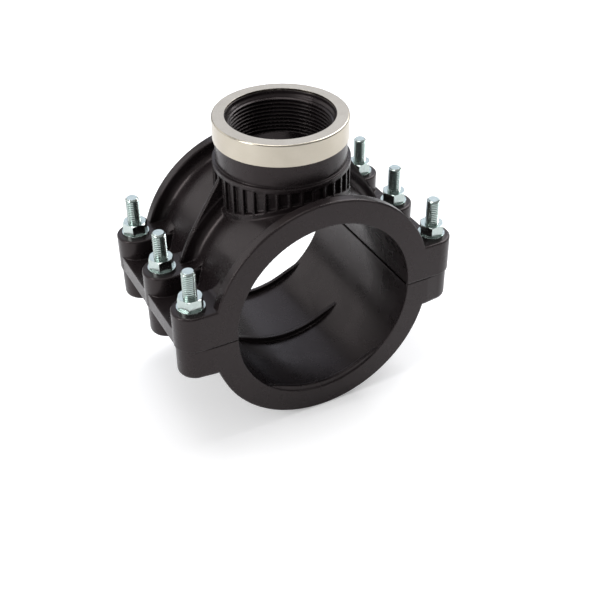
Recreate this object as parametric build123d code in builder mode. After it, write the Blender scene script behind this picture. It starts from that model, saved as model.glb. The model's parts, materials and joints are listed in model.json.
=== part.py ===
from build123d import *
from math import cos, radians, sin, tan
import os

# Clamp-on tapping saddle for a plastic pressure pipe.
# The frame's origin is on the pipe's axis, midway along the saddle. +Y runs along the pipe,
# +Z up the outlet and +X across the bolt rows. All sizes are in millimetres.

# How far joined forms run into each other, and cuts run past what they cut
embed = 1.0

# How far a hollow fillet dips under the face that it runs out on, so that the two cross cleanly
sink = 0.03

# Pipe bore and shell
pipe_diameter = 110.0
pipe_clearance = 0.1
bore_r = pipe_diameter / 2 + pipe_clearance
shell_wall = 5.9
rim_wall = 14.5
rim_width = 6.6
rib_width = 3.6
rim_fillet = 4.5
rim_edge = 0.7
lower_drop = 3.2
parting_z = -1.8
shell_r = bore_r + shell_wall
rim_r = bore_r + rim_wall

# Bolt rows: three bosses a side, the outer two flush with the saddle's ends
bolt_reach = 16.2
bolt_pitch = 42.4
boss_r = 11.3
boss_top = 20.8
boss_edge = 1.0
boss_fillet = 8.0
flange_thickness = 10.0
flange_inset = 0.4
flange_fillet = 5.0
bolt_x = shell_r + bolt_reach
half_length = bolt_pitch + boss_r
rim_y = half_length - rim_width / 2
flange_x = bolt_x + boss_r - flange_inset
bolt_rows = [-bolt_pitch, 0.0, bolt_pitch]
bolt_places = [(side * bolt_x, y) for side in (-1, 1) for y in bolt_rows]

# Lower bosses, each with a hexagonal pocket for its bolt's head
lower_boss_r = 10.4
lower_boss_bottom = -22.2
lower_boss_edge = 3.0
lower_flange_thickness = 8.0
pocket_depth = 7.2
pocket_play = 0.2

# The halves meet on pads round the bolts, with a gap elsewhere and a groove along the bore
seam_gap = 0.4
seam_groove = 1.8
seam_groove_depth = 3.0
pad_r = 7.0

# Ribs across the lower bore that bite on the pipe
grip_width = 2.4
grip_inset = 0.8
grip_angle = 45.0
grip_ramp = 25.0
grip_y = half_length - grip_inset - grip_width / 2

# Fasteners, M8
bolt_d = 8.0
bolt_length = 60.0
bolt_chamfer = 1.0
bolt_hole_d = 9.0
hex_flats = 13.0
hex_chamfer = 0.9
hex_chamfer_angle = 30.0
head_height = 5.3
nut_height = 6.5
nut_play = 0.05
washer_d = 16.0
washer_hole_d = 8.4
washer_thickness = 1.6
head_seat_z = lower_boss_bottom + pocket_depth

# Outlet branch with a 2 inch parallel pipe thread
thread_r = 59.614 / 2
thread_length = 21.0
passage_step = 2.0
mouth_gap = 1.2
mouth_depth = 3.3
mouth_chamfer = 1.4
neck_r = 37.5
collar_rise = 12.7
collar_band = 2.8
neck_rise = 26.2
flute_depth = 2.0
flute_count = 36
flute_rib = 1.6
plinth_height = 3.0
gusset_angle = 32.0
gusset_thickness = 2.6
passage_r = thread_r - passage_step
mouth_r = thread_r + mouth_gap
collar_r = neck_r + flute_depth
collar_top = shell_r + collar_rise
outlet_top = collar_top + neck_rise

# Reinforcing ring pressed over the neck
ring_wall = 1.0
ring_plate = 1.2
ring_height = 13.0
ring_edge = 0.9
ring_gap = 0.3
ring_r = neck_r + ring_wall
ring_hole_r = mouth_r + ring_gap
neck_top = outlet_top - ring_plate
thread_top = neck_top - mouth_depth + ring_plate - mouth_chamfer

# Seal round the outlet, in a groove of the upper bore
seal_land = 2.7
seal_width = 5.5
seal_depth = 3.4
seal_inner_r = passage_r + seal_land
seal_outer_r = seal_inner_r + seal_width


def pipe_rod(radius, length, drop=0.0):
    """A rod along the pipe's axis, or below it by drop."""
    with BuildPart() as rod:
        with BuildSketch(Plane.XZ):
            with Locations((0, -drop)):
                Circle(radius)
        extrude(amount=length / 2, both=True)
    return rod.part


def ribbed_drum():
    """The shell with its end rims and middle rib, turned about the pipe's axis."""
    with BuildPart() as drum:
        with BuildSketch(Plane.YZ):
            with Locations((0, (shell_r - sink) / 2)):
                Rectangle(2 * half_length, shell_r - sink)
            for place, width in ((-rim_y, rim_width), (0, rib_width), (rim_y, rim_width)):
                with Locations((place, rim_r / 2)):
                    Rectangle(width, rim_r)
            fillet(vertices().group_by(Axis.Y)[1], rim_fillet)
            chamfer(vertices().group_by(Axis.Y)[-1], rim_edge)
        revolve(axis=Axis.Y)
        add(pipe_rod(shell_r, 2 * half_length))
    return drum.part


def ledge(half_width, top, root, length, y=0.0):
    """The blocks that stand out of the shell on both sides, with a hollow fillet from top to shell.

    The fillet touches a core just under the shell's face at blend_z, and the block ends there.
    """
    core_r = shell_r - sink
    blend_z = core_r * (top + root) / (core_r + root)
    with BuildPart() as block:
        with BuildSketch(Plane.XZ.offset(-y)):
            Circle(core_r)
            with Locations((0, (top + parting_z) / 2)):
                Rectangle(2 * half_width, top - parting_z)
            fillet(vertices().filter_by(lambda corner: abs(corner.X) < core_r and corner.Y > 0), root)
            with Locations((0, (blend_z + parting_z) / 2)):
                Rectangle(2 * half_width, blend_z - parting_z, mode=Mode.INTERSECT)
            Circle(shell_r - embed, mode=Mode.SUBTRACT)
        extrude(amount=length / 2, both=True)
    return block.part


def boss_with_web(radius, bottom, top):
    """A boss on the +X side with the web that ties it to the shell, flush with the end rims there."""
    with BuildPart() as boss:
        with BuildSketch(Plane.XY.offset(bottom)):
            with BuildLine():
                Polyline((bolt_x, radius), (rim_r, boss_r), (bore_r, boss_r),
                         (bore_r, -boss_r), (rim_r, -boss_r), (bolt_x, -radius), close=True)
            make_face()
            with Locations((bolt_x, 0)):
                Circle(radius)
        extrude(amount=top - bottom)
    return boss.part


def outline_edges(part, height):
    """The edges of a boss's outline at one height, without the one inside the shell."""
    outer = part.edges().filter_by(lambda edge: edge.center().X > bore_r + embed)
    return outer.group_by(Axis.Z)[height]


def hexagon(height, z):
    """A bolt's head or a nut, its corners turned off at both ends."""
    corner_r = hex_flats / 3 ** 0.5
    flat_r = corner_r - hex_chamfer
    drop = hex_chamfer * tan(radians(hex_chamfer_angle))
    with BuildPart() as blank:
        with BuildSketch(Plane.XZ):
            with BuildLine():
                Polyline((0, z), (flat_r, z), (corner_r, z + drop), (corner_r, z + height - drop),
                         (flat_r, z + height), (0, z + height), close=True)
            make_face()
        revolve(axis=Axis.Z)
        with BuildSketch(Plane.XY.offset(z)):
            RegularPolygon(radius=hex_flats / 2, side_count=6, major_radius=False)
        extrude(amount=height, mode=Mode.INTERSECT)
    return blank.part


def polar(radius, angle):
    """A point across the pipe, by its angle from +X."""
    return radius * cos(radians(angle)), radius * sin(radians(angle))


os.makedirs("parts", exist_ok=True)

with BuildPart() as upper_boss:
    add(boss_with_web(boss_r, parting_z, boss_top))
    fillet(outline_edges(upper_boss, -1), boss_edge)

with BuildPart() as lower_boss:
    add(boss_with_web(lower_boss_r, lower_boss_bottom, parting_z))
    fillet(outline_edges(lower_boss, 0), lower_boss_edge)

with BuildPart() as plinth:
    with BuildSketch(Plane.XY):
        Circle(collar_r)
    extrude(amount=collar_top)
    add(pipe_rod(shell_r + plinth_height, 2 * half_length), mode=Mode.INTERSECT)

# The seal follows the pipe: a ring round the outlet, cut between two cylinders about the pipe's axis
with BuildPart() as seal_space:
    with BuildSketch(Plane.XY):
        Circle(seal_outer_r)
        Circle(seal_inner_r, mode=Mode.SUBTRACT)
    extrude(amount=collar_top)
    add(pipe_rod(bore_r + seal_depth, 2 * half_length), mode=Mode.INTERSECT)
    add(pipe_rod(bore_r, 2 * half_length), mode=Mode.SUBTRACT)

with BuildPart() as upper_saddle:
    # Shell, the flange between the bosses, and the bosses, which the shell runs down to
    add(ribbed_drum())
    add(ledge(flange_x, parting_z + flange_thickness, flange_fillet, 2 * bolt_pitch))
    for y in bolt_rows:
        add(ledge(bolt_x, boss_top, boss_fillet, 2 * (boss_r - boss_edge), y))
    for x, y in bolt_places:
        with Locations(Location((0, y, 0), (0, 0, 0 if x > 0 else 180))):
            add(upper_boss.part)
    # Outlet: neck, collar band, the ribs that leave the flutes between them, and the plinth
    with BuildSketch(Plane.XY):
        Circle(neck_r)
    extrude(amount=neck_top)
    with BuildSketch(Plane.XY.offset(collar_top - collar_band)):
        Circle(collar_r)
    extrude(amount=collar_band)
    with BuildSketch(Plane.XY):
        with PolarLocations((neck_r + collar_r) / 2, flute_count):
            Rectangle(flute_depth + 2 * embed, flute_rib)
        Circle(collar_r, mode=Mode.INTERSECT)
    extrude(amount=collar_top - collar_band)
    add(plinth.part)
    # Gusset webs that rise from the middle rib, tangent to it, up to the collar
    gusset_x = rim_r * cos(radians(gusset_angle))
    gusset_z = rim_r * sin(radians(gusset_angle))
    gusset_top = (rim_r - collar_r * cos(radians(gusset_angle))) / sin(radians(gusset_angle))
    for side in (-1, 1):
        with BuildSketch(Plane.XZ):
            with BuildLine():
                Polyline((side * gusset_x, gusset_z), (side * collar_r, gusset_top),
                         (side * passage_r, gusset_top), (side * passage_r, gusset_z), close=True)
            make_face()
        extrude(amount=gusset_thickness / 2, both=True)
    # Everything below the seam and inside the pipe's bore goes
    split(bisect_by=Plane.XY.offset(parting_z), keep=Keep.TOP)
    add(pipe_rod(bore_r, 2 * (half_length + embed)), mode=Mode.SUBTRACT)
    # Passage, thread wall and mouth of the outlet
    with BuildSketch(Plane.XZ):
        with BuildLine():
            Polyline((0, 0), (passage_r, 0), (passage_r, thread_top - thread_length),
                     (thread_r, thread_top - thread_length), (thread_r, thread_top),
                     (mouth_r, thread_top + mouth_chamfer), (mouth_r, outlet_top), (0, outlet_top),
                     close=True)
        make_face()
    revolve(axis=Axis.Z, mode=Mode.SUBTRACT)
    # Groove for the seal and the bolt holes
    add(seal_space.part, mode=Mode.SUBTRACT)
    with BuildSketch(Plane.XY.offset(parting_z)):
        with Locations(*bolt_places):
            Circle(bolt_hole_d / 2)
    extrude(amount=boss_top - parting_z, mode=Mode.SUBTRACT)
upper_saddle.part.label = "upper_saddle"
export_step(upper_saddle.part, "parts/upper_saddle.step")

with BuildPart() as outlet_seal:
    add(seal_space.part)
outlet_seal.part.label = "outlet_seal"
export_step(outlet_seal.part, "parts/outlet_seal.step")

with BuildPart() as grip:
    # One crescent rib: its crest lies on the pipe's bore and its ends ramp down to the shell
    foot_r = bore_r + lower_drop + embed
    with BuildSketch(Plane.XZ):
        with Locations((0, -lower_drop)):
            Circle(bore_r + embed)
        Circle(bore_r, mode=Mode.SUBTRACT)
        with BuildSketch(mode=Mode.INTERSECT):
            with BuildLine():
                Polyline(polar(foot_r, -90 - grip_angle), polar(bore_r, -90 - grip_angle + grip_ramp),
                         polar(bore_r, -90 + grip_angle - grip_ramp), polar(foot_r, -90 + grip_angle),
                         (foot_r, -2 * foot_r), (-foot_r, -2 * foot_r), close=True)
            make_face()
    extrude(amount=grip_width / 2, both=True)

with BuildPart() as lower_saddle:
    # Shell, set below the pipe's axis, with the flange under the seam and the bosses
    with Locations((0, 0, -lower_drop)):
        add(ribbed_drum())
    with Locations((0, 0, parting_z - lower_flange_thickness / 2)):
        Box(2 * bolt_x, 2 * bolt_pitch, lower_flange_thickness)
    for x, y in bolt_places:
        with Locations(Location((0, y, 0), (0, 0, 0 if x > 0 else 180))):
            add(lower_boss.part)
    # Everything above the seam and inside the bore goes, and the seam is cut back but for its pads
    split(bisect_by=Plane.XY.offset(parting_z), keep=Keep.BOTTOM)
    add(pipe_rod(bore_r, 2 * (half_length + embed), lower_drop), mode=Mode.SUBTRACT)
    with BuildSketch(Plane.XY.offset(parting_z - seam_gap)):
        Rectangle(2 * (bolt_x + boss_r + embed), 2 * (half_length + embed))
        with Locations(*bolt_places):
            Circle(pad_r, mode=Mode.SUBTRACT)
    extrude(amount=seam_gap, mode=Mode.SUBTRACT)
    with Locations((0, 0, parting_z - seam_groove / 2)):
        Box(2 * (bore_r + seam_groove_depth), 2 * (half_length - seam_groove), seam_groove,
            mode=Mode.SUBTRACT)
    for y in (-grip_y, 0, grip_y):
        with Locations((0, y, 0)):
            add(grip.part)
    # Bolt holes with a pocket for each hexagonal head
    with BuildSketch(Plane.XY.offset(lower_boss_bottom)):
        with Locations(*bolt_places):
            Circle(bolt_hole_d / 2)
    extrude(amount=parting_z - lower_boss_bottom, mode=Mode.SUBTRACT)
    with BuildSketch(Plane.XY.offset(lower_boss_bottom)):
        with Locations(*bolt_places):
            RegularPolygon(radius=hex_flats / 2 + pocket_play, side_count=6, major_radius=False)
    extrude(amount=pocket_depth, mode=Mode.SUBTRACT)
lower_saddle.part.label = "lower_saddle"
export_step(lower_saddle.part, "parts/lower_saddle.step")

with BuildPart() as reinforcing_ring:
    with BuildSketch(Plane.XZ):
        with BuildLine():
            Polyline((ring_hole_r, outlet_top - ring_plate), (neck_r, outlet_top - ring_plate),
                     (neck_r, outlet_top - ring_height), (ring_r, outlet_top - ring_height),
                     (ring_r, outlet_top), (ring_hole_r, outlet_top), close=True)
        make_face()
        fillet(vertices().group_by(Axis.Y)[-1].sort_by(Axis.X)[-1], ring_edge)
    revolve(axis=Axis.Z)
reinforcing_ring.part.label = "reinforcing_ring"
export_step(reinforcing_ring.part, "parts/reinforcing_ring.step")

# Fasteners: a bolt up through each pair of bosses, with a washer and a nut on top
with BuildPart() as bolt:
    with BuildSketch(Plane.XY.offset(head_seat_z)):
        Circle(bolt_d / 2)
    extrude(amount=bolt_length)
    chamfer(bolt.edges().group_by(Axis.Z)[-1], bolt_chamfer)
    add(hexagon(head_height, head_seat_z - head_height))

with BuildPart() as washer:
    with BuildSketch(Plane.XY.offset(boss_top)):
        Circle(washer_d / 2)
        Circle(washer_hole_d / 2, mode=Mode.SUBTRACT)
    extrude(amount=washer_thickness)

with BuildPart() as nut:
    add(hexagon(nut_height, boss_top + washer_thickness))
    with BuildSketch(Plane.XY.offset(boss_top + washer_thickness)):
        Circle(bolt_d / 2 + nut_play)
    extrude(amount=nut_height, mode=Mode.SUBTRACT)

for number, (x, y) in enumerate(bolt_places, start=1):
    for name, fastener in (("bolt", bolt), ("washer", washer), ("nut", nut)):
        piece = fastener.part.moved(Location((x, y, 0)))
        piece.label = f"{name}_{number}"
        export_step(piece, f"parts/{name}_{number}.step")
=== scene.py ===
"""Studio scene of a clamp-on tapping saddle.

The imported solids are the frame. This script dresses them in their real finishes and models the screw
threads, which the solids leave smooth.
"""

import json
import logging
import math
from dataclasses import dataclass, field
from enum import Enum
from typing import Any

import bmesh
import bpy
from mathutils import Matrix, Vector


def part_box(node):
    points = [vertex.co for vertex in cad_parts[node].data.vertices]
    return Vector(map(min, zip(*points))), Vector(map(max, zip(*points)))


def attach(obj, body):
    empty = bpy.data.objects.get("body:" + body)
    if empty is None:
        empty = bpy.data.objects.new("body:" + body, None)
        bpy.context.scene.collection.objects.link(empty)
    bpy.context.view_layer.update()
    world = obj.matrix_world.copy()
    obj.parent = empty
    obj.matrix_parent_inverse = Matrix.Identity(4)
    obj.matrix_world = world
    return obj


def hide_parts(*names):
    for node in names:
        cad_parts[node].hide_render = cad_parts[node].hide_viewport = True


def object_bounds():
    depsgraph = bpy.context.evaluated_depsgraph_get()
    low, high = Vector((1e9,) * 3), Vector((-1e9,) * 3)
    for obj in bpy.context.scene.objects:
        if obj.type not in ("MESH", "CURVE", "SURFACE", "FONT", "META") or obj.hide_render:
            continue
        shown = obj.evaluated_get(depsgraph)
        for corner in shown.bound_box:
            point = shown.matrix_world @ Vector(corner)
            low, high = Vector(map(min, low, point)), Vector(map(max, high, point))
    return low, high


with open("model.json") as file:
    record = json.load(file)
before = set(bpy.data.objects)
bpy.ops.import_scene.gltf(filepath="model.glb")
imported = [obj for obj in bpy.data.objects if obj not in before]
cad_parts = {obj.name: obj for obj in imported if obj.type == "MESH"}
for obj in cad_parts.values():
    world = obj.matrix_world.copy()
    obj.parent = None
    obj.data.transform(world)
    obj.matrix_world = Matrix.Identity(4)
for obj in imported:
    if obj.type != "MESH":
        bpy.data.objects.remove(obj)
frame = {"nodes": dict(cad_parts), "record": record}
CAD_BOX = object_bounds()

MM = 0.001
BODY = "root"
ORIGIN = Vector((0.0, 0.0, 0.0))
UP = Vector((0.0, 0.0, 1.0))
HEXAGON = 6
BEVEL_SAMPLES = 6
# Points nearer than this are one point, and vertices within LEVEL of a height lie at it, both in metres
NEAR = 1e-7
LEVEL = 1e-6

log = logging.getLogger("tapping_saddle")


class Slot(Enum):
    """The material slots of the part's record."""

    PLASTIC = "black_plastic"
    RING = "ring_steel"
    ZINC = "zinc_steel"
    SEAL = "seal_rubber"


def linear(code: str) -> tuple[float, float, float, float]:
    """Turns an sRGB hex value into linear light.

    Args:
        code: The colour as "#rrggbb".

    Returns:
        Red, green, blue and an alpha of 1.
    """
    channels = [int(code[i:i + 2], 16) / 255 for i in (1, 3, 5)]
    light = [c / 12.92 if c <= 0.04045 else ((c + 0.055) / 1.055) ** 2.4 for c in channels]
    return light[0], light[1], light[2], 1.0


def per_metre(size_mm: float) -> float:
    """Returns the texture scale at which one pattern cell is size_mm across."""
    return 1.0 / (size_mm * MM)


def add_node(tree: bpy.types.NodeTree, kind: str, inputs: dict[Any, Any] | None = None,
             **settings: Any) -> bpy.types.Node:
    """Adds a node with its settings and links.

    Args:
        tree: The node tree to add to.
        kind: The node's type, such as "ShaderNodeBump".
        inputs: Socket name or number to a plain value, or to the output socket that feeds it.
        settings: The node's own properties.

    Returns:
        The new node.
    """
    node = tree.nodes.new(kind)
    for name, value in settings.items():
        setattr(node, name, value)
    for key, value in (inputs or {}).items():
        if isinstance(value, bpy.types.NodeSocket):
            tree.links.new(value, node.inputs[key])
        else:
            node.inputs[key].default_value = value
    return node


def new_material(name: str) -> tuple[bpy.types.Material, bpy.types.NodeTree]:
    """Returns an empty node material of that name, and its tree."""
    material = bpy.data.materials.new(name)
    material.use_nodes = True
    material.node_tree.nodes.clear()
    return material, material.node_tree


def noise(tree: bpy.types.NodeTree, where: bpy.types.NodeSocket, size_mm: float, detail: float = 2.0,
          roughness: float = 0.5) -> bpy.types.NodeSocket:
    """Adds a noise pattern.

    Args:
        tree: The node tree to add to.
        where: The coordinates that it is read at.
        size_mm: The size of one pattern cell.
        detail: How many finer layers lie on it.
        roughness: How strong each finer layer is.

    Returns:
        The pattern's value.
    """
    inputs = {"Vector": where, "Scale": per_metre(size_mm), "Detail": detail, "Roughness": roughness}
    return add_node(tree, "ShaderNodeTexNoise", inputs).outputs["Fac"]


def blend(tree: bpy.types.NodeTree, share: bpy.types.NodeSocket, low: Any, high: Any) -> bpy.types.NodeSocket:
    """Mixes two colours, each a value or a socket, by the share of the second."""
    return add_node(tree, "ShaderNodeMix", {0: share, 6: low, 7: high}, data_type="RGBA").outputs[2]


def spread(tree: bpy.types.NodeTree, value: bpy.types.NodeSocket, ends: tuple[float, float],
           onto: tuple[float, float]) -> bpy.types.NodeSocket:
    """Maps a value from one range onto another, and holds it within the second.

    Args:
        tree: The node tree to add to.
        value: The value to map.
        ends: The range that it comes in.
        onto: The range that it leaves in.

    Returns:
        The mapped value.
    """
    inputs = {"Value": value, "From Min": ends[0], "From Max": ends[1], "To Min": onto[0], "To Max": onto[1]}
    return add_node(tree, "ShaderNodeMapRange", inputs).outputs["Result"]


def relief(tree: bpy.types.NodeTree, height: bpy.types.NodeSocket, strength: float, depth_mm: float,
           edge_mm: float | None = None) -> bpy.types.NodeSocket:
    """Adds fine relief, over softly broken corners if an edge size is given.

    Args:
        tree: The node tree to add to.
        height: The pattern that is raised.
        strength: How much of the relief shows.
        depth_mm: How deep it is.
        edge_mm: The radius of the corners.

    Returns:
        The surface normal.
    """
    inputs: dict[Any, Any] = {"Strength": strength, "Distance": depth_mm * MM, "Height": height}
    if edge_mm is not None:
        corners = add_node(tree, "ShaderNodeBevel", {"Radius": edge_mm * MM}, samples=BEVEL_SAMPLES)
        inputs["Normal"] = corners.outputs["Normal"]
    return add_node(tree, "ShaderNodeBump", inputs).outputs["Normal"]


def set_surface(tree: bpy.types.NodeTree, inputs: dict[Any, Any]) -> None:
    """Gives a material its surface: the principled shader with these inputs."""
    shader = add_node(tree, "ShaderNodeBsdfPrincipled", inputs)
    add_node(tree, "ShaderNodeOutputMaterial", {"Surface": shader.outputs["BSDF"]})


@dataclass(frozen=True)
class MouldedPolypropylene:
    """Black glass-filled polypropylene, injection moulded.

    The mould's spark-eroded surface gives it a satin skin: black in itself, grey where it mirrors the
    studio, with faint cloudy flow marks and softly broken corners.
    """

    base: str = "#151112"
    cloudy: str = "#201b1c"
    scuffed: str = "#302a2b"
    sheen: str = "#fff0f0"
    cloud_range: tuple[float, float] = (0.3, 0.7)
    roughness: tuple[float, float] = (0.22, 0.34)
    scuff_range: tuple[float, float] = (0.66, 0.80)
    scuff_share: tuple[float, float] = (0.0, 0.5)
    specular: float = 0.36
    ior: float = 1.5
    cloud_mm: float = 14.0
    scuff_mm: float = 5.0
    grain_mm: float = 0.45
    grain_depth_mm: float = 0.02
    grain_strength: float = 0.22
    edge_mm: float = 1.2

    def build(self) -> bpy.types.Material:
        """Builds the material.

        Returns:
            The moulded polypropylene.
        """
        material, tree = new_material("polypropylene_moulded_black")
        where = add_node(tree, "ShaderNodeTexCoord").outputs["Object"]
        cloud = noise(tree, where, self.cloud_mm, detail=3.0, roughness=0.55)
        scuff = noise(tree, where, self.scuff_mm, detail=8.0, roughness=0.75)
        grain = noise(tree, where, self.grain_mm)
        flowed = blend(tree, cloud, linear(self.base), linear(self.cloudy))
        rubbed = spread(tree, scuff, self.scuff_range, self.scuff_share)
        set_surface(tree, {
            "Base Color": blend(tree, rubbed, flowed, linear(self.scuffed)),
            "Roughness": spread(tree, cloud, self.cloud_range, self.roughness),
            "IOR": self.ior,
            "Specular IOR Level": self.specular,
            "Specular Tint": linear(self.sheen),
            "Normal": relief(tree, grain, self.grain_strength, self.grain_depth_mm, self.edge_mm)})
        return material


@dataclass(frozen=True)
class PressedStainless:
    """Stainless steel sheet, deep drawn and turned bright.

    It mirrors the studio softly, warm grey, and fine turning marks run round it.
    """

    base: str = "#c9c2b4"
    dull: str = "#b8b0a1"
    roughness: tuple[float, float] = (0.14, 0.32)
    line_mm: float = 0.35
    line_depth_mm: float = 0.01
    line_strength: float = 0.12
    haze_mm: float = 9.0
    edge_mm: float = 0.25

    def build(self) -> bpy.types.Material:
        """Builds the material.

        Returns:
            The stainless steel.
        """
        material, tree = new_material("stainless_steel_pressed")
        where = add_node(tree, "ShaderNodeTexCoord").outputs["Object"]
        parts = add_node(tree, "ShaderNodeSeparateXYZ", {"Vector": where})
        flat = add_node(tree, "ShaderNodeCombineXYZ", {"X": parts.outputs["X"], "Y": parts.outputs["Y"]})
        radius = add_node(tree, "ShaderNodeVectorMath", {0: flat.outputs["Vector"]}, operation="LENGTH")
        # Only radius and height vary the turning marks, so they close on themselves round the ring
        lathe = add_node(tree, "ShaderNodeCombineXYZ",
                         {"X": radius.outputs["Value"], "Z": parts.outputs["Z"]}).outputs["Vector"]
        lines = noise(tree, lathe, self.line_mm, detail=3.0)
        haze = noise(tree, where, self.haze_mm, detail=4.0)
        set_surface(tree, {
            "Base Color": blend(tree, haze, linear(self.base), linear(self.dull)),
            "Metallic": 1.0,
            "Roughness": spread(tree, lines, (0.0, 1.0), self.roughness),
            "Normal": relief(tree, lines, self.line_strength, self.line_depth_mm, self.edge_mm)})
        return material


@dataclass(frozen=True)
class ZincPlate:
    """Steel with bright electroplated zinc under a clear blue passivate.

    It is cool and silvery, a little cloudy, and softer than chrome because the plating is rough.
    """

    base: str = "#cdd8d5"
    cloudy: str = "#aebab6"
    cloud_range: tuple[float, float] = (0.3, 0.7)
    roughness: tuple[float, float] = (0.12, 0.24)
    cloud_mm: float = 2.6
    grain_mm: float = 0.3
    grain_depth_mm: float = 0.01
    grain_strength: float = 0.15
    edge_mm: float = 0.08

    def build(self) -> bpy.types.Material:
        """Builds the material.

        Returns:
            The zinc plate.
        """
        material, tree = new_material("steel_zinc_plated")
        where = add_node(tree, "ShaderNodeTexCoord").outputs["Object"]
        cloud = noise(tree, where, self.cloud_mm, detail=4.0, roughness=0.6)
        grain = noise(tree, where, self.grain_mm)
        set_surface(tree, {
            "Base Color": blend(tree, cloud, linear(self.base), linear(self.cloudy)),
            "Metallic": 1.0,
            "Roughness": spread(tree, cloud, self.cloud_range, self.roughness),
            "Normal": relief(tree, grain, self.grain_strength, self.grain_depth_mm, self.edge_mm)})
        return material


@dataclass(frozen=True)
class MouldedRubber:
    """EPDM rubber, compression moulded: a matt, faintly dusty black with no clear reflection."""

    base: str = "#141414"
    dusty: str = "#242322"
    roughness: float = 0.78
    ior: float = 1.52
    dust_mm: float = 3.0
    grain_mm: float = 0.5
    grain_depth_mm: float = 0.03
    grain_strength: float = 0.3

    def build(self) -> bpy.types.Material:
        """Builds the material.

        Returns:
            The rubber.
        """
        material, tree = new_material("epdm_rubber_moulded")
        where = add_node(tree, "ShaderNodeTexCoord").outputs["Object"]
        dust = noise(tree, where, self.dust_mm, detail=5.0)
        grain = noise(tree, where, self.grain_mm)
        set_surface(tree, {
            "Base Color": blend(tree, dust, linear(self.base), linear(self.dusty)),
            "IOR": self.ior,
            "Roughness": self.roughness,
            "Normal": relief(tree, grain, self.grain_strength, self.grain_depth_mm)})
        return material


class Finishes:
    """One material for each slot, built once and shared by every piece of that slot."""

    def __init__(self) -> None:
        """Builds the four materials."""
        self.materials: dict[Slot, bpy.types.Material] = {
            Slot.PLASTIC: MouldedPolypropylene().build(),
            Slot.RING: PressedStainless().build(),
            Slot.ZINC: ZincPlate().build(),
            Slot.SEAL: MouldedRubber().build(),
        }

    def dress(self, piece: bpy.types.Object, slot: Slot) -> None:
        """Gives a piece the one material of a slot."""
        piece.data.materials.clear()
        piece.data.materials.append(self.materials[slot])

    def dress_node(self, name: str, slot: Slot) -> None:
        """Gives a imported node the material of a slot.

        Args:
            name: The node's name.
            slot: The slot whose finish it takes.
        """
        node = frame["nodes"][name]
        for place in node.material_slots:
            place.material = self.materials[slot]
        log.info("dressed %s as %s", name, slot.value)


def add_piece(name: str, shape: bmesh.types.BMesh, slot: Slot, finishes: Finishes) -> bpy.types.Object:
    """Turns a finished bmesh into a piece that rides on the saddle.

    Args:
        name: The piece's name.
        shape: The mesh, already in its place. It is freed here.
        slot: The material slot it takes its finish from.
        finishes: The materials.

    Returns:
        The new object, at the origin, unturned and unscaled.
    """
    mesh = bpy.data.meshes.new(name)
    shape.to_mesh(mesh)
    shape.free()
    piece = bpy.data.objects.new(name, mesh)
    bpy.context.scene.collection.objects.link(piece)
    finishes.dress(piece, slot)
    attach(piece, BODY)
    log.info("made %s with %d faces", name, len(mesh.polygons))
    return piece


@dataclass(frozen=True)
class ScrewThread:
    """A helical thread surface about the Z axis, right-handed.

    Attributes:
        pitch: The rise of one turn, in metres.
        root_r: The radius at the bottom of the groove.
        crest_r: The radius at the top of the ridge.
        steps: How many facets make a turn.
        crest_share: The share of the pitch that the ridge's flat top takes.
        root_share: The share of the pitch that the groove's flat bottom takes.
    """

    pitch: float
    root_r: float
    crest_r: float
    steps: int
    crest_share: float = 0.12
    root_share: float = 0.20

    def sweep(self, low: float, high: float) -> bmesh.types.BMesh:
        """Sweeps one pitch of the profile into a thread that is cut off square at both ends.

        Args:
            low: Height of the thread's lower end.
            high: Height of its upper end.

        Returns:
            The open thread surface, its turns merged.
        """
        shape = bmesh.new()
        turns = math.ceil((high - low) / self.pitch) + 2
        crest, root = self.crest_share / 2, self.root_share / 2
        shares = ((0.0, self.root_r), (root, self.root_r), (0.5 - crest, self.crest_r),
                  (0.5 + crest, self.crest_r), (1.0 - root, self.root_r), (1.0, self.root_r))
        start = low - self.pitch
        points = [shape.verts.new((radius, 0.0, start + share * self.pitch)) for share, radius in shares]
        profile = [shape.edges.new(pair) for pair in zip(points, points[1:])]
        bmesh.ops.spin(shape, geom=points + profile, cent=ORIGIN, axis=UP,
                       dvec=UP * (self.pitch / self.steps), angle=2 * math.pi * turns,
                       steps=self.steps * turns)
        bmesh.ops.remove_doubles(shape, verts=shape.verts, dist=self.pitch * 1e-3)
        for height, normal in ((high, UP), (low, -UP)):
            everything = shape.verts[:] + shape.edges[:] + shape.faces[:]
            bmesh.ops.bisect_plane(shape, geom=everything, dist=NEAR, plane_co=UP * height,
                                   plane_no=normal, clear_outer=True)
        return shape


def edges_at(shape: bmesh.types.BMesh, height: float) -> list[bmesh.types.BMEdge]:
    """Returns the open edges of a shape that lie at one height."""
    return [edge for edge in shape.edges
            if edge.is_boundary and all(abs(vert.co.z - height) < LEVEL for vert in edge.verts)]


def set_radius(vert: bmesh.types.BMVert, radius: float) -> None:
    """Moves a vertex straight out from or in to the Z axis, to a radius."""
    share = radius / math.hypot(vert.co.x, vert.co.y)
    vert.co.x *= share
    vert.co.y *= share


def close_shape(shape: bmesh.types.BMesh) -> None:
    """Merges doubles and turns every face outwards."""
    bmesh.ops.remove_doubles(shape, verts=shape.verts, dist=NEAR)
    bmesh.ops.recalc_face_normals(shape, faces=shape.faces)


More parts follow.
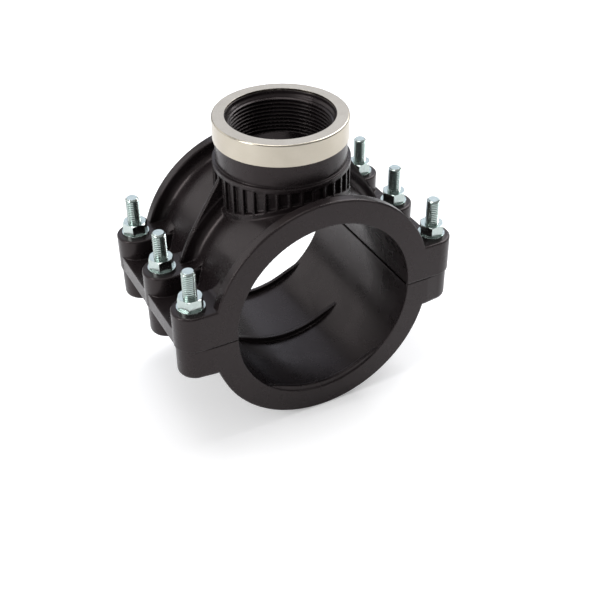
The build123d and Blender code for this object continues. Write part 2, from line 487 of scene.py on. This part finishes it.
def cylinder(shape: bmesh.types.BMesh, radius: float, low: float, high: float, segments: int,
             chamfer: float) -> None:
    """Adds an upright closed cylinder or prism with broken end edges to a shape.

    Args:
        shape: The mesh to add to.
        radius: Its radius, out to the corners.
        low: Height of its lower end.
        high: Height of its upper end.
        segments: How many sides it has. The first corner points along +X.
        chamfer: How much its end edges are broken.
    """
    middle = Matrix.Translation(UP * (low + high) / 2) @ Matrix.Rotation(math.pi / 2, 4, "Z")
    made = bmesh.ops.create_cone(shape, cap_ends=True, segments=segments, radius1=radius, radius2=radius,
                                 depth=high - low, matrix=middle)["verts"]
    rims = [edge for edge in {edge for vert in made for edge in vert.link_edges}
            if abs(edge.verts[0].co.z - edge.verts[1].co.z) < NEAR]
    bmesh.ops.bevel(shape, geom=rims, offset=chamfer, segments=2, profile=0.5, affect="EDGES", material=-1)


@dataclass
class OutletThread:
    """The 2 inch parallel pipe thread inside the outlet."""

    pitch: float = 2.309 * MM
    minor_r: float = 28.33 * MM
    below_top: float = 3.5 * MM
    play: float = 0.01 * MM
    backing: float = 0.12 * MM
    steps: int = 72

    def build(self, finishes: Finishes) -> bpy.types.Object:
        """Builds the thread as a closed liner whose back lies inside the outlet's wall.

        Args:
            finishes: The materials.

        Returns:
            The thread.
        """
        mount = next(m for m in frame["record"]["mounts"] if m["name"] == "outlet_thread")
        wall_r = mount["dims"]["r_mm"] * MM
        neck_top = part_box("upper_saddle")[1][2]
        high = neck_top - self.below_top
        low = high - mount["dims"]["length_mm"] * MM
        shape = ScrewThread(self.pitch, wall_r - self.play, self.minor_r, self.steps).sweep(low, high)
        loops = []
        for height in (low, high):
            made = bmesh.ops.extrude_edge_only(shape, edges=edges_at(shape, height))["geom"]
            for vert in (item for item in made if isinstance(item, bmesh.types.BMVert)):
                set_radius(vert, wall_r + self.backing)
            loops += [item for item in made if isinstance(item, bmesh.types.BMEdge) and item.is_boundary]
        bmesh.ops.bridge_loops(shape, edges=loops)
        close_shape(shape)
        return add_piece("outlet_thread", shape, Slot.PLASTIC, finishes)


@dataclass
class Fasteners:
    """The six bolts with their nuts and washers.

    The bolts' threads have the real pitch, but crests much flatter than a real thread's 0.125 of the
    pitch: at that width their turns are too fine to show.
    """

    count: int = 6
    major_r: float = 3.97 * MM
    minor_r: float = 3.20 * MM
    pitch: float = 1.25 * MM
    steps: int = 28
    shank_sides: int = 32
    crest_share: float = 0.34
    root_share: float = 0.16
    thread_length: float = 26.0 * MM
    tip_chamfer: float = 0.9 * MM
    across_flats: float = 13.0 * MM
    head_height: float = 5.3 * MM
    edge: float = 0.25 * MM

    def threaded_bolt(self, name: str, node: str, finishes: Finishes) -> bpy.types.Object:
        """Builds a bolt with a screw thread in place of the smooth one.

        Args:
            name: The new piece's name.
            node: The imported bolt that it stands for.
            finishes: The materials.

        Returns:
            The bolt.
        """
        low, high = (Vector(corner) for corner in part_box(node))
        tip = high.z
        thread_end = tip - self.thread_length
        thread = ScrewThread(self.pitch, self.minor_r, self.major_r, self.steps, self.crest_share,
                             self.root_share)
        shape = thread.sweep(thread_end, tip)
        for vert in shape.verts:
            limit = self.major_r - self.tip_chamfer + (tip - vert.co.z)
            if math.hypot(vert.co.x, vert.co.y) > limit:
                set_radius(vert, limit)
        bmesh.ops.holes_fill(shape, edges=edges_at(shape, thread_end) + edges_at(shape, tip), sides=0)
        head_top = low.z + self.head_height
        cylinder(shape, self.major_r, head_top - self.edge, thread_end + self.pitch, self.shank_sides,
                 self.edge)
        cylinder(shape, self.across_flats / math.sqrt(3), low.z, head_top, HEXAGON, self.edge)
        close_shape(shape)
        middle = (low + high) / 2
        bmesh.ops.translate(shape, verts=shape.verts, vec=Vector((middle.x, middle.y, 0.0)))
        bolt = add_piece(name, shape, Slot.ZINC, finishes)
        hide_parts(node)
        return bolt

    def build(self, finishes: Finishes) -> None:
        """Builds the bolts and dresses the nuts and washers.

        Args:
            finishes: The materials.
        """
        for number in range(1, self.count + 1):
            self.threaded_bolt(f"threaded_bolt_{number}", f"bolt_{number}", finishes)
            finishes.dress_node(f"nut_{number}", Slot.ZINC)
            finishes.dress_node(f"washer_{number}", Slot.ZINC)


@dataclass
class SaddleBody:
    """The two mouldings, the ring on the neck and the seal."""

    finish_of: dict[str, Slot] = field(default_factory=lambda: {
        "upper_saddle": Slot.PLASTIC, "lower_saddle": Slot.PLASTIC,
        "reinforcing_ring": Slot.RING, "outlet_seal": Slot.SEAL})

    def build(self, finishes: Finishes) -> None:
        """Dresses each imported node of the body.

        Args:
            finishes: The materials.
        """
        for node, slot in self.finish_of.items():
            finishes.dress_node(node, slot)


@dataclass
class Lamp:
    """One soft area lamp, aimed at a point.

    Attributes:
        name: The lamp's name.
        place: Where it stands, in metres.
        aim: The point that it faces.
        size: Its width and height.
        watts: Its power.
        colour: Its sRGB colour.
    """

    name: str
    place: tuple[float, float, float]
    aim: tuple[float, float, float]
    size: tuple[float, float]
    watts: float
    colour: str = "#ffffff"

    def build(self) -> bpy.types.Object:
        """Builds the lamp.

        Returns:
            The light object.
        """
        data = bpy.data.lights.new(self.name, "AREA")
        data.shape = "RECTANGLE"
        data.size, data.size_y = self.size
        data.energy = self.watts
        data.color = linear(self.colour)[:3]
        lamp = bpy.data.objects.new(self.name, data)
        lamp.location = self.place
        lamp.rotation_euler = (Vector(self.aim) - Vector(self.place)).to_track_quat("-Z", "Y").to_euler()
        bpy.context.scene.collection.objects.link(lamp)
        return lamp


@dataclass
class Studio:
    """A plain white sweep with soft light all round.

    Attributes:
        floor_half: Half the floor's width, in metres.
        floor_colour: The floor's sRGB colour.
        lift: How much the floor is lifted at the object, as the camera sees it.
        lift_near: How far out the lift begins to grow.
        lift_far: How far out it reaches 1.
        wall_top: The height, as a share of straight up, below which the surround has its wall level.
        sky_base: The height above which it has its sky level.
        wall_level: How bright the surround is low down.
        sky_level: How bright it is overhead.
        lamps: The lamps.
    """

    floor_half: float = 3.0
    floor_colour: str = "#f4f4f5"
    lift: float = 0.29
    lift_near: float = 0.25
    lift_far: float = 1.3
    wall_top: float = 0.05
    sky_base: float = 0.5
    wall_level: float = 0.25
    sky_level: float = 0.35
    lamps: tuple[Lamp, ...] = (
        Lamp("key", (0.80, 0.27, 0.85), (0.0, 0.0, 0.02), (0.8, 0.8), 10.8),
        Lamp("side", (-0.9, -0.1, 0.45), (0.0, 0.0, 0.0), (0.35, 0.7), 5.0),
        Lamp("over", (-0.10, 0.20, 1.15), (0.0, 0.0, 0.0), (0.6, 0.6), 4.0),
        Lamp("back", (0.55, 1.05, 0.92), (0.0, 0.0, 0.08), (1.5, 1.0), 4.0, "#e8eeff"),
        Lamp("left back", (-0.85, 0.95, 0.62), (0.0, 0.0, 0.05), (1.3, 0.9), 3.6),
    )

    def floor(self) -> None:
        """Lays the floor. What the camera sees of it is lifted to white, and its shadow stays.

        The lift grows away from the object, where the lamps don't reach, so that no horizon shows.
        """
        material, tree = new_material("paper_sweep_white")
        camera_ray = add_node(tree, "ShaderNodeLightPath").outputs["Is Camera Ray"]
        where = add_node(tree, "ShaderNodeTexCoord").outputs["Object"]
        away = add_node(tree, "ShaderNodeVectorMath", {0: where}, operation="LENGTH").outputs["Value"]
        level = spread(tree, away, (self.lift_near, self.lift_far), (self.lift, 1.0))
        lifted = add_node(tree, "ShaderNodeMath", {0: camera_ray, 1: level}, operation="MULTIPLY")
        matt = add_node(tree, "ShaderNodeBsdfDiffuse", {"Color": linear(self.floor_colour)})
        glow = add_node(tree, "ShaderNodeEmission", {"Strength": lifted.outputs[0]})
        both = add_node(tree, "ShaderNodeAddShader", {0: matt.outputs[0], 1: glow.outputs[0]})
        add_node(tree, "ShaderNodeOutputMaterial", {"Surface": both.outputs[0]})
        shape = bmesh.new()
        ground = Matrix.Translation(UP * CAD_BOX[0][2])
        bmesh.ops.create_grid(shape, x_segments=1, y_segments=1, size=self.floor_half, matrix=ground)
        mesh = bpy.data.meshes.new("floor")
        shape.to_mesh(mesh)
        shape.free()
        mesh.materials.append(material)
        floor = bpy.data.objects.new("floor", mesh)
        bpy.context.scene.collection.objects.link(floor)

    def world(self) -> None:
        """Makes an even pale surround that the camera sees as white."""
        world = bpy.data.worlds.new("surround")
        world.use_nodes = True
        tree = world.node_tree
        tree.nodes.clear()
        camera_ray = add_node(tree, "ShaderNodeLightPath").outputs["Is Camera Ray"]
        way = add_node(tree, "ShaderNodeTexCoord").outputs["Generated"]
        height = add_node(tree, "ShaderNodeSeparateXYZ", {"Vector": way}).outputs["Z"]
        room = spread(tree, height, (self.wall_top, self.sky_base), (self.wall_level, self.sky_level))
        level = add_node(tree, "ShaderNodeMix", {0: camera_ray, 2: room, 3: 1.0}).outputs[0]
        glow = add_node(tree, "ShaderNodeBackground", {"Color": linear("#ffffff"), "Strength": level})
        add_node(tree, "ShaderNodeOutputWorld", {"Surface": glow.outputs[0]})
        bpy.context.scene.world = world

    def build(self) -> None:
        """Builds the floor, the surround and the lamps."""
        self.floor()
        self.world()
        for lamp in self.lamps:
            lamp.build()
            log.info("placed lamp %s", lamp.name)


@dataclass
class StudioCamera:
    """The camera, set by the direction it looks from.

    Attributes:
        place: Where it stands, in metres.
        azimuth: Its turn about Z from looking along +Y, in degrees.
        elevation: Its height angle, in degrees.
        roll: Its roll about its own axis, in degrees.
        lens: Focal length, in millimetres.
        sensor: The sensor's width, in millimetres.
        shift: Lens shift, as shares of the frame.
        clip_start: The nearest distance that it sees, in metres.
    """

    place: tuple[float, float, float] = (-0.2298, -0.4673, 0.3589)
    azimuth: float = -27.694
    elevation: float = 36.14
    roll: float = -0.324
    lens: float = 62.28
    sensor: float = 36.0
    shift: tuple[float, float] = (-0.0105, -0.0172)
    clip_start: float = 0.01

    def build(self) -> bpy.types.Object:
        """Builds the camera and makes it the scene's own.

        Returns:
            The camera.
        """
        data = bpy.data.cameras.new("studio_camera")
        data.lens = self.lens
        data.sensor_width = self.sensor
        data.shift_x, data.shift_y = self.shift
        data.clip_start = self.clip_start
        camera = bpy.data.objects.new("studio_camera", data)
        turn = Matrix.Rotation(math.radians(self.azimuth), 4, "Z")
        tip = Matrix.Rotation(math.radians(90.0 - self.elevation), 4, "X")
        spin = Matrix.Rotation(math.radians(self.roll), 4, "Z")
        camera.matrix_world = Matrix.Translation(self.place) @ turn @ tip @ spin
        bpy.context.scene.collection.objects.link(camera)
        bpy.context.scene.camera = camera
        return camera


def main() -> None:
    """Dresses the saddle, adds its threads and sets up the studio."""
    logging.basicConfig(level=logging.INFO, format="%(name)s: %(message)s")
    finishes = Finishes()
    SaddleBody().build(finishes)
    OutletThread().build(finishes)
    Fasteners().build(finishes)
    Studio().build()
    StudioCamera().build()
    bpy.context.scene.view_settings.view_transform = "Standard"


if __name__ == "__main__":
    main()
